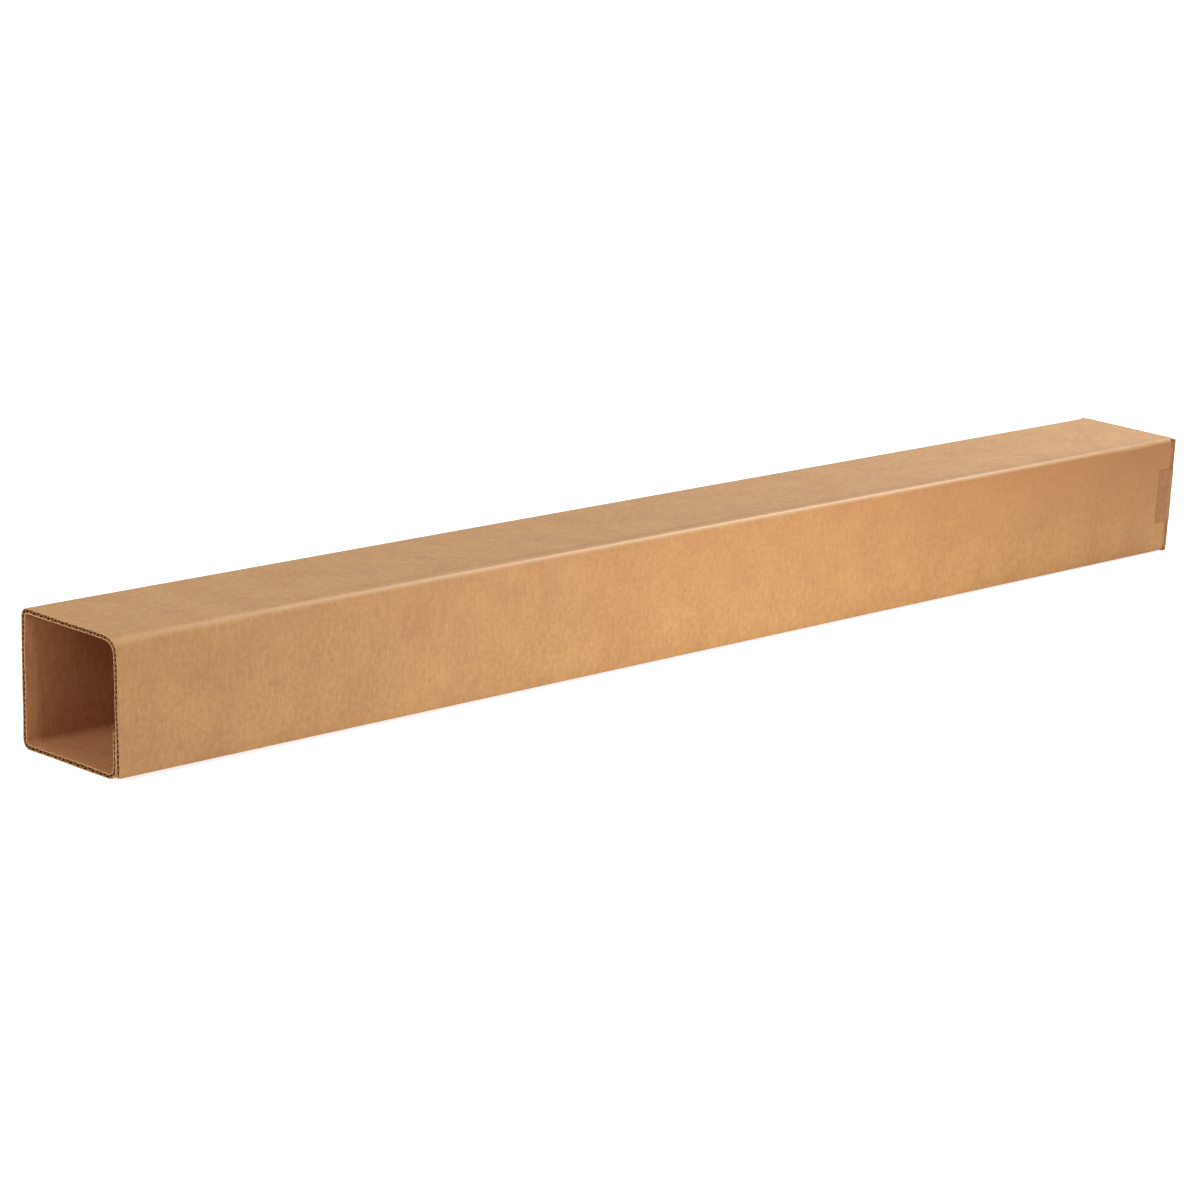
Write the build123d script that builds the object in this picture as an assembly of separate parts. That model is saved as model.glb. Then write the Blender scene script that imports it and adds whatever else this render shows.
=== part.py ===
from build123d import *
import os
from math import acos, asin, atan2, cos, pi, radians, sin, sqrt, tan

# One half of a telescoping corrugated box: a long square tube folded from one sheet,
# open at the -X end and shut at the +X end by four flaps and a strip of tape.
# X runs along the box, +Z is up, and the right side of the box faces -Y.
# Sections are drawn in (y, z), with y = 0 on the right side and z = 0 on the ground.

# Driving dimensions, millimetres
side = 101.6            # outside width and height of the tube, 4 in
length = 1219.2         # mouth to the outside of the closing flaps, 48 in
board = 4.0             # caliper of the C-flute board
liner = 0.3             # facing paper
medium = 0.25           # fluted paper between the facings
pitch = 7.6             # one whole flute
mouth_lean = 4.73       # degrees that the open end leans towards +Y; the closed end is square

# Outside radii of the long folds, in the order bottom left, top left, top right.
# They are loose at the mouth and tighten quickly along the box.
mouth_fold_radii = (7.2, 6.5, 13.5)
near_x = 220.0
near_fold_radii = (6.0, 6.0, 8.2)
middle_x = 480.0
middle_fold_radii = (5.2, 5.4, 5.4)
end_fold_radii = (4.6, 4.6, 4.4)

# Glued seam along the lower right edge: the sheet's tab goes up inside the right panel
tab_fold_radius = 8.0   # outside radius of the fold under the seam
mouth_raw_edge = 3.0    # lower cut edge of the right panel above the ground, at the mouth
end_raw_edge = 1.4      # and at the closed end
glue_height = 6.0      # the groove under the seam is shut from here up
fold_overlap = 0.5      # the tab runs this far down into its fold
strips_over_fold = 2    # lowest strips of the right panel's inner face, behind that fold
tab_glue_bite = 0.15    # the tab's glued face sinks this far into the facing paper
tab_board = 3.0         # the tab is pressed thinner than the rest of the sheet
tab_press_height = 13.0
tab_height = 36.0
tab_bevel = 1.5

# Closing flaps: left and right fold in first, then bottom and top over them
flap_fold_radius = 2.0  # outside; the crease is sharp on the inside
flap_clearance = 0.3    # between the inner and the outer flaps
flap_gap = 1.2          # between two free edges that meet
square_stretch = 22.0   # the flaps hold the last of the tube square
half_slot = 0.4         # an outer flap is this much narrower than the box, each side
inner_flap_margin = 4.4 # an inner flap is this much narrower, each side

# Flutes
wave_places = (0.31, 0.18, 0.0)     # points drawn on half a wave, in flutes from its crown
foot_place = 0.395                  # where the channel's corner meets the facing paper
flute_side_margin = 0.8             # solid board left beside a fold
flute_end_margin = 5.0              # the flutes are pressed shut before the square stretch
flap_flute_margin = 8.0             # and this near a flap's fold
overrun = 2.0                       # channel cutters reach this far past an open edge

# Closing tape
tape_width = 48.0
tape_thickness = 0.06
tape_wrap = 22.0        # reach of the tape onto each side

tube_length = length - board - flap_clearance - flap_fold_radius
square_x = tube_length - square_stretch


def unit(v):
    size = sqrt(v[0] ** 2 + v[1] ** 2)
    return (v[0] / size, v[1] / size)


def add(a, b, scale=1.0):
    return (a[0] + b[0] * scale, a[1] + b[1] * scale)


class Fold:
    """A rounded fold at a corner of the section, with its outside and inside arcs."""

    def __init__(self, before, corner, after, radius):
        to_before = unit(add(before, corner, -1.0))
        to_after = unit(add(after, corner, -1.0))
        half_angle = acos(to_before[0] * to_after[0] + to_before[1] * to_after[1]) / 2
        inward = unit(add(to_before, to_after))
        reach = radius / tan(half_angle)
        centre = add(corner, inward, radius / sin(half_angle))
        self.outer = (
            add(corner, to_before, reach),
            add(centre, inward, -radius),
            add(corner, to_after, reach),
        )
        shrink = (radius - board) / radius
        self.inner = [add(centre, add(p, centre, -1.0), shrink) for p in self.outer]


class Section:
    """Section of the tube at x, with its three rounded folds and what is left of the lean."""

    def __init__(self, x, radii):
        self.x = x
        left_open = max(0.0, 1 - x / square_x)
        self.lean = asin(sin(radians(mouth_lean)) * left_open)
        self.raw_edge = end_raw_edge + (mouth_raw_edge - end_raw_edge) * left_open
        shift = side * sin(self.lean)
        height = side * cos(self.lean)
        right = (0.0, 0.0)
        left = (side, 0.0)
        left_top = (side + shift, height)
        right_top = (shift, height)
        self.folds = [
            Fold(right, left, left_top, radii[0]),
            Fold(left, left_top, right_top, radii[1]),
            Fold(left_top, right_top, right, radii[2]),
        ]
        radius = tab_fold_radius
        self.tab_centre = (self.on_right(board, radius)[0] + radius, radius)

    def on_right(self, depth, height):
        """A point of the right panel, with depth measured in from its outer face."""
        across = cos(self.lean)
        along = sin(self.lean)
        return (height * along + depth * across, height * across - depth * along)

    def flat(self, index):
        """Ends of a panel's flat outer face: bottom, left, top and right in turn."""
        starts = [(self.tab_centre[0], 0.0)] + [fold.outer[2] for fold in self.folds]
        ends = [fold.outer[0] for fold in self.folds] + [self.on_right(0.0, self.raw_edge)]
        return starts[index], ends[index]

    def flat_length(self, index):
        start, end = self.flat(index)
        run = add(end, start, -1.0)
        return sqrt(run[0] ** 2 + run[1] ** 2)

    def on_panel(self, index, along, depth):
        start, end = self.flat(index)
        direction = unit(add(end, start, -1.0))
        inward = (-direction[1], direction[0])
        return add(add(start, direction, along), inward, depth)

    def place(self, point):
        return Vector(self.x, point[0], point[1])


mouth = Section(0.0, mouth_fold_radii)
near = Section(near_x, near_fold_radii)
middle = Section(middle_x, middle_fold_radii)
square = Section(square_x, end_fold_radii)
tube_end = Section(tube_length, end_fold_radii)


def flute_count(index):
    """Half flutes that fit on a panel, at whichever end its flat part is narrower."""
    shortest = min(mouth.flat_length(index), square.flat_length(index))
    taken = 2 * (foot_place * pitch + flute_side_margin)
    return int((shortest - taken) / (pitch / 2)) + 1


def flute_centres(section, index):
    count = flute_count(index)
    first = (section.flat_length(index) - (count - 1) * pitch / 2) / 2
    return [first + number * pitch / 2 for number in range(count)]


def channel_shape(opens_outwards):
    """Section (along, depth) of the empty channel on one side of the wavy paper."""
    swing = (board - 2 * liner - medium) / 2
    half = [(foot_place * pitch, liner)]
    for place in wave_places:
        slope = 2 * pi * swing / pitch * sin(2 * pi * place)
        paper = medium / 2 * sqrt(1 + slope ** 2)
        depth = board / 2 + swing * cos(2 * pi * place) - paper
        half.append((place * pitch, depth))
    shape = half + [(-along, depth) for along, depth in reversed(half[:-1])]
    if opens_outwards:
        return shape
    return [(along, board - depth) for along, depth in shape]


def ruled_solid(points_a, points_b):
    wire_a = Wire.make_polygon(points_a, close=True)
    wire_b = Wire.make_polygon(points_b, close=True)
    return Solid.make_loft([wire_a, wire_b], ruled=True)


def along_tube(near, far, x):
    """Point at x on the line from a point of the mouth to one where the tube is square."""
    share = x / square_x
    return Vector(x, *add(near, add(far, near, -1.0), share))


def tube_channels():
    """The channels of the four panels, open at the mouth and blind at the far end."""
    channels = []
    far_x = square_x - flute_end_margin
    for index in range(4):
        centres = zip(flute_centres(mouth, index), flute_centres(square, index))
        for number, (near_centre, far_centre) in enumerate(centres):
            shape = channel_shape(number % 2 == 0)
            near = [mouth.on_panel(index, near_centre + a, d) for a, d in shape]
            far = [square.on_panel(index, far_centre + a, d) for a, d in shape]
            start = [along_tube(a, b, -overrun) for a, b in zip(near, far)]
            stop = [along_tube(a, b, far_x) for a, b in zip(near, far)]
            channels.append(ruled_solid(start, stop))
    return channels


def panel_edges(section, index, depth):
    """Edges across a panel. Left and right twist along the box, so theirs are narrow."""
    places = [0.0, section.flat_length(index)]
    if index in (1, 3):
        places = [0.0] + flute_centres(section, index) + places[1:]
    points = [section.place(section.on_panel(index, p, depth)) for p in places]
    return [Edge.make_line(a, b) for a, b in zip(points, points[1:])]


def arc_edge(section, points):
    return Edge.make_three_point_arc(*[section.place(p) for p in points])


def line_edges(section, points):
    placed = [section.place(p) for p in points]
    return [Edge.make_line(a, b) for a, b in zip(placed, placed[1:])]


def tab_fold_point(section, radius, height):
    """A point on the fold under the seam, at a height above the ground."""
    centre = section.tab_centre
    return (centre[0] - sqrt(radius ** 2 - (centre[1] - height) ** 2), height)


def outer_wire(section):
    """Outside of the section, with the right panel's raw edge and the groove beside it."""
    edges = []
    for index, fold in enumerate(section.folds):
        edges += panel_edges(section, index, 0.0)
        edges.append(arc_edge(section, fold.outer))
    edges += panel_edges(section, 3, 0.0)
    centre = section.tab_centre
    radius = tab_fold_radius
    groove_end = tab_fold_point(section, radius, glue_height)
    edges += line_edges(section, [
        section.on_right(0.0, section.raw_edge),
        section.on_right(board, section.raw_edge),
        section.on_right(board, glue_height),
        groove_end,
    ])
    middle = add(centre, (-cos(pi / 3), -sin(pi / 3)), radius)
    edges.append(arc_edge(section, [groove_end, middle, (centre[0], 0.0)]))
    return Wire(edges)


def inner_wire(section):
    """Inside of the section, with the step where the fold under the seam ends."""
    centre = section.tab_centre
    radius = tab_fold_radius - board
    edges = []
    for index, fold in enumerate(section.folds):
        edges += panel_edges(section, index, board)
        edges.append(arc_edge(section, fold.inner))
    edges += panel_edges(section, 3, board)[:-strips_over_fold]
    fold_top = (centre[0] - radius, centre[1])
    last_centre = flute_centres(section, 3)[-strips_over_fold]
    edges += line_edges(section, [
        section.on_panel(3, last_centre, board),
        section.on_right(board, tab_fold_radius),
        fold_top,
    ])
    middle = add(centre, (-cos(pi / 4), -sin(pi / 4)), radius)
    edges.append(arc_edge(section, [fold_top, middle, (centre[0], board)]))
    return Wire(edges)


def glue_tab():
    """Tab of the sheet, glued inside the right panel."""
    def shape(section):
        fold_face = section.tab_centre[0] - tab_fold_radius + board
        low = tab_fold_radius - fold_overlap
        thick = board + tab_board
        points = [
            section.on_right(board - tab_glue_bite, low),
            (fold_face - fold_overlap, low),
            (fold_face, tab_fold_radius),
            section.on_right(thick, tab_press_height),
            section.on_right(thick, tab_height - tab_bevel),
            section.on_right(thick - tab_bevel, tab_height),
            section.on_right(board - tab_glue_bite, tab_height),
        ]
        return points
    start = [mouth.place(p) for p in shape(mouth)]
    stop = [square.place(p) for p in shape(square)]
    return ruled_solid(start, stop)


def tube():
    sections = (mouth, near, middle, square, tube_end)
    outside = Solid.make_loft([outer_wire(section) for section in sections], ruled=True)
    inside = Solid.make_loft([inner_wire(section) for section in sections], ruled=True)
    return outside - inside


def folded_flap(face_x, reach):
    """Profile (x, inward) of a flap that turns in from a panel and ends at its reach."""
    radius = flap_fold_radius
    turn = face_x - radius
    swing = cos(pi / 4)
    arc = Edge.make_three_point_arc(
        (turn, 0), (turn + radius * swing, radius - radius * swing), (face_x, radius))
    corners = [
        (face_x, radius),
        (face_x, reach),
        (face_x - board, reach),
        (face_x - board, board),
        (tube_length, board),
        (tube_length, 0),
    ]
    if turn > tube_length:
        corners.append((turn, 0))
    lines = [Edge.make_line(a, b) for a, b in zip(corners, corners[1:])]
    return Face(Wire([arc] + lines))


def flap(face_x, width, seat):
    """A closed flap with its channels, folded in from the panel that the seat stands on."""
    reach = side / 2 - flap_gap / 2
    profile = folded_flap(face_x, reach)
    solid = Solid.extrude(profile, Vector(0, 0, width))
    count = int((width - 2 * foot_place * pitch - 2 * flute_side_margin) / (pitch / 2)) + 1
    first = (width - (count - 1) * pitch / 2) / 2
    low = flap_fold_radius + flap_flute_margin
    cutters = []
    for number in range(count):
        centre = first + number * pitch / 2
        shape = channel_shape(number % 2 == 0)
        start = [Vector(face_x - d, low, centre + a) for a, d in shape]
        stop = [Vector(face_x - d, reach + overrun, centre + a) for a, d in shape]
        cutters.append(ruled_solid(start, stop))
    return seat * (Part() + solid - cutters)


def closing_flaps():
    """Left and right flaps, then the bottom and top flaps that cover them."""
    inner_x = length - board - flap_clearance
    inner_width = side - 2 * inner_flap_margin
    outer_width = side - 2 * half_slot
    # Each seat maps the flap's own (x, inward, across) onto the box
    right = Plane(origin=(0, 0, inner_flap_margin), x_dir=(1, 0, 0), z_dir=(0, 0, 1))
    left = Plane(origin=(0, side, side - inner_flap_margin), x_dir=(1, 0, 0), z_dir=(0, 0, -1))
    bottom = Plane(origin=(0, side - half_slot, 0), x_dir=(1, 0, 0), z_dir=(0, -1, 0))
    top = Plane(origin=(0, half_slot, side), x_dir=(1, 0, 0), z_dir=(0, 1, 0))
    return [
        flap(inner_x, inner_width, right.location),
        flap(inner_x, inner_width, left.location),
        flap(length, outer_width, bottom.location),
        flap(length, outer_width, top.location),
    ]


def corrugated_box():
    body = Part() + tube() - tube_channels() + glue_tab()
    for piece in closing_flaps():
        body = body + piece
    return body


def closing_tape():
    """Strip of tape over the meeting edges, turned onto both sides of the box."""
    start_x = length - tape_wrap
    thick = tape_thickness
    # The tape leaves the side at the line that touches both its fold and the outer flap's edge
    centre_run = (length - tube_length, half_slot - flap_fold_radius)
    distance = sqrt(centre_run[0] ** 2 + centre_run[1] ** 2)
    rise = acos(flap_fold_radius / distance) + atan2(-centre_run[1], centre_run[0])
    slope = pi / 2 - rise
    leave_x = tube_length + flap_fold_radius * tan(slope / 2)
    inner_line = [(start_x, 0.0), (leave_x, 0.0), (length, half_slot)]
    outer_line = [
        (start_x, -thick),
        (leave_x + thick * tan(slope / 2), -thick),
        (length + thick, half_slot - thick * tan(pi / 4 - slope / 2)),
    ]
    mirrored_inner = [(x, side - y) for x, y in reversed(inner_line)]
    mirrored_outer = [(x, side - y) for x, y in reversed(outer_line)]
    ring = inner_line + mirrored_inner + list(reversed(outer_line + mirrored_outer))
    profile = Face(Wire.make_polygon([Vector(x, y, 0) for x, y in ring], close=True))
    low = side / 2 - tape_width / 2
    return Pos(0, 0, low) * Solid.extrude(profile, Vector(0, 0, tape_width))


pieces = {
    "corrugated_box": corrugated_box(),
    "closing_tape": closing_tape(),
}

# The origin goes to the middle of the underside of the whole box
whole = Compound(list(pieces.values())).bounding_box()
centre_shift = Pos(-(whole.min.X + whole.max.X) / 2, -(whole.min.Y + whole.max.Y) / 2, 0)

os.makedirs("parts", exist_ok=True)
for name, piece in pieces.items():
    export_step(centre_shift * piece, "parts/" + name + ".step")
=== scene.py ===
import math

import bpy
import numpy as np
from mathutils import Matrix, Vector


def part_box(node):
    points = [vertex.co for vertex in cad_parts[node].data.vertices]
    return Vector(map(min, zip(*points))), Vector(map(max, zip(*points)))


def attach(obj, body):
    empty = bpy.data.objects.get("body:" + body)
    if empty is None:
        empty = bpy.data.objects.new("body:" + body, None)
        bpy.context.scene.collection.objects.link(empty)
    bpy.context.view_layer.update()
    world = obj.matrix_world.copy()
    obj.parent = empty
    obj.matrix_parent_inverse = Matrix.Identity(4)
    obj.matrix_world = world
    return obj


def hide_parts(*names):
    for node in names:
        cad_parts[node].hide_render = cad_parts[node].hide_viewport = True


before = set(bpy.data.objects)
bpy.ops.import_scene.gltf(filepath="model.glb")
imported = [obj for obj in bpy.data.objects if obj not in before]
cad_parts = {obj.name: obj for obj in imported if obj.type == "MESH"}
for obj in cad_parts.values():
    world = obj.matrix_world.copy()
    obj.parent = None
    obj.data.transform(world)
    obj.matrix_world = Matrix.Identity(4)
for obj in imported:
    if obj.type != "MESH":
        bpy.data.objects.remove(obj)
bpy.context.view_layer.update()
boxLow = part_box("corrugated_box")[0]
print("frame loaded")

mm = 0.001

# One half of a telescoping box, folded from a single sheet of C-flute board.
# Sections are drawn in (y, z): y = 0 on the right side, z = 0 on the floor, x = 0 at the mouth.
board = {
    "side": 101.6,              # outside width and height, mm
    "length": 1219.2,
    "thick": 4.0,
    "liner": 0.3,               # facing paper
    "medium": 0.25,             # fluted paper
    "halfPitch": 3.8,           # half a C flute
    "stepsPerHalfWave": 6,
    "mouthLean": 4.73,          # degrees
    # Outside radii of the long folds at each x: bottom left, top left, top right
    "folds": {
        0.0: (7.2, 6.5, 13.0),
        45.0: (7.0, 6.4, 9.5),
        220.0: (6.0, 6.0, 7.4),
        480.0: (5.2, 5.4, 5.4),
        1190.9: (4.6, 4.6, 4.4),
        1212.9: (4.6, 4.6, 4.4),
    },
    "tabFold": 8.0,             # outside radius of the fold under the glue tab
    "rawEdges": (3.0, 1.4),     # height of the right panel's lower cut edge, mouth and far end
    "tabHeight": 36.0,
    "tabThick": 3.0,            # the tab is pressed this thin
    "tabPressHeight": 13.0,     # from this height up
    "squareX": 1190.9,          # the tube is square from here
    "tubeX": 1212.9,            # and its flaps turn in from here
}
side, thick = board["side"], board["thick"]
liner, medium = board["liner"], board["medium"]
steps = board["stepsPerHalfWave"]

# Steps that give near cells and seeds unlike numbers, so that the noise looks random
noise = {"cell": 127.1, "row": 269.5, "seed": 311.7, "spread": 43758.5453}
# How far each seed slides the noise: along a line, and along and across a surface
slide = {"line": 17.31, "along": 7.13, "across": 3.77}


def smooth(value):
    value = np.clip(value, 0.0, 1.0)
    return value * value * (3.0 - 2.0 * value)


def scramble(number):
    # Numbers from -1 to 1, the same on each run
    raw = np.sin(number) * noise["spread"]
    return (raw - np.floor(raw)) * 2.0 - 1.0


def wander(x, period, seed):
    # Smooth noise along a line, from -1 to 1
    x = np.asarray(x, float) / period + seed * slide["line"]
    cell = np.floor(x)
    share = smooth(x - cell)
    low = scramble(cell * noise["cell"] + seed * noise["seed"])
    high = scramble((cell + 1.0) * noise["cell"] + seed * noise["seed"])
    return low * (1.0 - share) + high * share


def wanderOver(x, y, periods, seed):
    # The same over a surface
    x = np.asarray(x, float) / periods[0] + seed * slide["along"]
    y = np.asarray(y, float) / periods[1] + seed * slide["across"]
    cellX, cellY = np.floor(x), np.floor(y)
    shareX, shareY = smooth(x - cellX), smooth(y - cellY)

    def row(a, b):
        low = scramble(a * noise["cell"] + b * noise["row"] + seed * noise["seed"])
        high = scramble((a + 1) * noise["cell"] + b * noise["row"] + seed * noise["seed"])
        return low * (1.0 - shareX) + high * shareX
    return row(cellX, cellY) * (1.0 - shareY) + row(cellX, cellY + 1) * shareY


def toFrame(points):
    # From millimetres on the drawing to metres in the shared frame
    return points * mm + np.array([boxLow[0], boxLow[1], 0.0])


def runAlong(points):
    # Length of a line of points, from its start to each point
    return np.concatenate([[0.0], np.cumsum(np.linalg.norm(np.diff(points, axis=0), axis=1))])


# The folded sheet: outside and inside points all the way round one section

def cornerFold(before, corner, after, radius, count):
    # Arc of a fold: points on the outside and on the inside of the board
    before, corner, after = np.array(before), np.array(corner), np.array(after)
    toBefore = (before - corner) / np.linalg.norm(before - corner)
    toAfter = (after - corner) / np.linalg.norm(after - corner)
    halfAngle = math.acos(np.dot(toBefore, toAfter)) / 2
    inward = (toBefore + toAfter) / np.linalg.norm(toBefore + toAfter)
    centre = corner + inward * radius / math.sin(halfAngle)
    reach = radius / math.tan(halfAngle)
    start = corner + toBefore * reach - centre
    startAngle = math.atan2(start[1], start[0])
    turn = math.pi - 2 * halfAngle
    angles = startAngle + np.linspace(0.0, turn, count)
    spoke = np.stack([np.cos(angles), np.sin(angles)], axis=1)
    return centre + spoke * radius, centre + spoke * (radius - thick)


def flatRun(start, end, count):
    # Flat part of a panel: the board lies on the left of the way from start to end
    start, end = np.array(start), np.array(end)
    way = (end - start) / np.linalg.norm(end - start)
    inward = np.array([-way[1], way[0]])
    share = np.linspace(0.0, 1.0, count)[:, None]
    outside = start + (end - start) * share
    return outside, outside + inward * thick


def onRight(lean, depth, height):
    # A point of the right panel, depth in from its outer face
    return np.array([
        height * math.sin(lean) + depth * math.cos(lean),
        height * math.cos(lean) - depth * math.sin(lean),
    ])


# Half waves of the medium on each stretch of the sheet
halfWaves = {
    "tab": 7, "tabFold": 3, "bottom": 21, "foldBL": 4, "left": 22,
    "foldTL": 2, "top": 22, "foldTR": 4, "right": 23,
}


def sheetSection(x, radii):
    # Outside points, inside points and the name of the stretch that each is on
    openShare = max(0.0, 1.0 - x / board["squareX"])
    lean = math.asin(math.sin(math.radians(board["mouthLean"])) * openShare)
    rawNear, rawFar = board["rawEdges"]
    rawEdge = onRight(lean, 0.0, rawFar + (rawNear - rawFar) * openShare)
    shift, height = side * math.sin(lean), side * math.cos(lean)
    right, left = (0.0, 0.0), (side, 0.0)
    leftTop, rightTop = (side + shift, height), (shift, height)
    count = {name: number * steps + 1 for name, number in halfWaves.items()}
    foldBL = cornerFold(right, left, leftTop, radii[0], count["foldBL"])
    foldTL = cornerFold(left, leftTop, rightTop, radii[1], count["foldTL"])
    foldTR = cornerFold(leftTop, rightTop, right, radii[2], count["foldTR"])
    radius = board["tabFold"]
    centre = np.array([onRight(lean, thick, radius)[0] + radius, radius])
    angles = math.pi + np.linspace(0.0, math.pi / 2, count["tabFold"])
    spoke = np.stack([np.cos(angles), np.sin(angles)], axis=1)
    foldTab = (centre + spoke * radius, centre + spoke * (radius - thick))
    # The tab lies on the right panel's inner face and is pressed thinner above its fold
    heights = np.linspace(board["tabHeight"], radius, count["tab"])
    tabOut = np.array([onRight(lean, thick, h) for h in heights])
    press = smooth((heights - radius) / (board["tabPressHeight"] - radius))
    tabThick = thick + (board["tabThick"] - thick) * press
    tabIn = np.array([onRight(lean, thick + t, h) for h, t in zip(heights, tabThick)])
    runs = {
        "tab": (tabOut, tabIn),
        "tabFold": foldTab,
        "bottom": flatRun(foldTab[0][-1], foldBL[0][0], count["bottom"]),
        "foldBL": foldBL,
        "left": flatRun(foldBL[0][-1], foldTL[0][0], count["left"]),
        "foldTL": foldTL,
        "top": flatRun(foldTL[0][-1], foldTR[0][0], count["top"]),
        "foldTR": foldTR,
        "right": flatRun(foldTR[0][-1], rawEdge, count["right"]),
    }
    # Each stretch ends where the next one starts, so only the last keeps its end point
    outside = np.concatenate([run[0][:-1] for run in runs.values()] + [runs["right"][0][-1:]])
    inside = np.concatenate([run[1][:-1] for run in runs.values()] + [runs["right"][1][-1:]])
    names = [name for name, run in runs.items() for point in run[0][:-1]] + ["right"]
    return outside, inside, np.array(names)


keyX = np.array(list(board["folds"]))
keySections = [sheetSection(x, radii) for x, radii in board["folds"].items()]
keyOut = np.array([section[0] for section in keySections])
keyIn = np.array([section[1] for section in keySections])
stretch = keySections[0][2]
mouthOut = keyOut[0]
stationCount = len(stretch)
wavePhase = np.arange(stationCount) * math.pi / steps
print("section drawn:", stationCount, "points round the sheet")


# The springy mouth: how far its parts stand off the drawn section, in mm
mouthSpring = {
    "reach": 130.0,             # dies out this far in
    "footOut": 0.5,             # the glued tab pushes the foot of the right side out
    "footTop": (52.0, 22.0),    # none at this height, and all of it this far below
    "footSide": (34.0, 24.0),   # none this far from the right, and all of it this much nearer
    "leftOut": 1.0,             # the left side bellies out
    "leftTop": (94.0, 26.0),
    "leftSide": (60.0, 34.0),   # none this far from the right, and all of it this much further
    "ridgeSag": 1.0,            # the top rolls into the right side instead of folding
    "sagReach": 26.0,
    "sagWidth": 15.0,
    "sagDepth": 4.0,            # its middle lies this far inside both faces
    "sagWay": (0.6, -0.8),
}
# One corner of the closed end has been knocked: low point, size and depth, in mm
knock = {
    "centre": (1162.0, 0.0, 101.6),
    "reach": (24.0, 9.0, 15.0),
    "push": (0.0, 1.5, -1.3),
}


def below(value, band):
    # 0 from the band's first number up, and 1 from its second number further down
    return smooth((band[0] - value) / band[1])


def springOf(points):
    # Pushes in (y, z) for each point of the mouth's section: the sides, then the ridge
    spring = mouthSpring
    y, z = points[:, 0], points[:, 1]
    foot = below(z, spring["footTop"]) * below(y, spring["footSide"])
    leftFrom, leftFade = spring["leftSide"]
    belly = below(z, spring["leftTop"]) * smooth((y - leftFrom) / leftFade)
    sideways = belly * spring["leftOut"] - foot * spring["footOut"]
    shift = side * math.sin(math.radians(board["mouthLean"]))
    fromRidge = np.hypot(y - shift - spring["sagDepth"], z - side + spring["sagDepth"])
    sag = np.exp(-(fromRidge / spring["sagWidth"]) ** 2) * spring["ridgeSag"]
    return np.stack([sideways, 0.0 * sideways], axis=1), sag[:, None] * np.array(spring["sagWay"])


def knockIn(points):
    # Points are (x, y, z) in mm; the last axis is the direction
    away = (points - np.array(knock["centre"])) / np.array(knock["reach"])
    weight = np.exp(-(away ** 2).sum(axis=-1))
    return points + weight[..., None] * np.array(knock["push"])


sidePush, ridgePush = springOf(mouthOut)


def sheetPoints(xs, depth, xShift):
    # Points of a layer: depth and xShift are rows of x by stations round the sheet, in mm
    key = np.clip(np.searchsorted(keyX, xs, side="right") - 1, 0, len(keyX) - 2)
    share = ((xs - keyX[key]) / (keyX[key + 1] - keyX[key]))[:, None, None]
    outside = keyOut[key] * (1.0 - share) + keyOut[key + 1] * share
    inside = keyIn[key] * (1.0 - share) + keyIn[key + 1] * share
    part = (depth / thick)[:, :, None]
    points = outside * (1.0 - part) + inside * part
    points = points + sidePush[None] * np.exp(-xs / mouthSpring["reach"])[:, None, None]
    points = points + ridgePush[None] * np.exp(-xs / mouthSpring["sagReach"])[:, None, None]
    alongX = xs[:, None] + xShift
    return toFrame(knockIn(np.concatenate([alongX[:, :, None], points], axis=2)))


def gridFaces(rows, columns):
    first = np.arange((rows - 1) * columns).reshape(rows - 1, columns)[:, :-1].ravel()
    return np.stack([first, first + 1, first + columns + 1, first + columns], axis=1)


def paperMesh(name, front, back):
    # A closed sheet of paper from two grids of points that have the same rows and columns
    rows, columns = front.shape[:2]
    size = rows * columns
    points = np.concatenate([front.reshape(-1, 3), back.reshape(-1, 3)])
    frontFaces = gridFaces(rows, columns)
    backFaces = (frontFaces + size)[:, ::-1]
    index = np.arange(size).reshape(rows, columns)
    loops = [index[0], index[:, -1], index[-1][::-1], index[:, 0][::-1]]
    rim = np.concatenate([loop[:-1] for loop in loops])
    after = np.roll(rim, -1)
    rimFaces = np.stack([after, rim, rim + size, after + size], axis=1)
    faces = np.concatenate([frontFaces, backFaces, rimFaces])
    mesh = bpy.data.meshes.new(name)
    mesh.from_pydata(points.tolist(), [], faces.tolist())
    piece = bpy.data.objects.new(name, mesh)
    bpy.context.scene.collection.objects.link(piece)
    return piece, len(faces) - len(rimFaces)


def addAttribute(piece, name, values):
    # One number for each point of the front grid, and the same again for the back
    layer = piece.data.attributes.new(name, "FLOAT", "POINT")
    layer.data.foreach_set("value", np.tile(np.asarray(values, np.float32).ravel(), 2))


def dress(piece, faceMaterial, edgeMaterial, rimStart, node):
    # First slot is the paper's faces, second its cut edges, which are the faces from rimStart on
    mesh = piece.data
    mesh.materials.append(faceMaterial)
    mesh.materials.append(edgeMaterial)
    index = np.zeros(len(mesh.polygons), np.int32)
    index[rimStart:] = 1
    mesh.polygons.foreach_set("material_index", index)
    shading = np.ones(len(mesh.polygons), bool)
    shading[rimStart:] = False
    mesh.polygons.foreach_set("use_smooth", shading)
    mesh.update()
    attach(piece, "root")
    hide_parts(node)


# Materials

def hexColour(code):
    # sRGB hex to the linear colour that Blender works in
    channels = [int(code[i:i + 2], 16) / 255 for i in (1, 3, 5)]
    linear = [c / 12.92 if c <= 0.04045 else ((c + 0.055) / 1.055) ** 2.4 for c in channels]
    return (*linear, 1.0)


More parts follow.
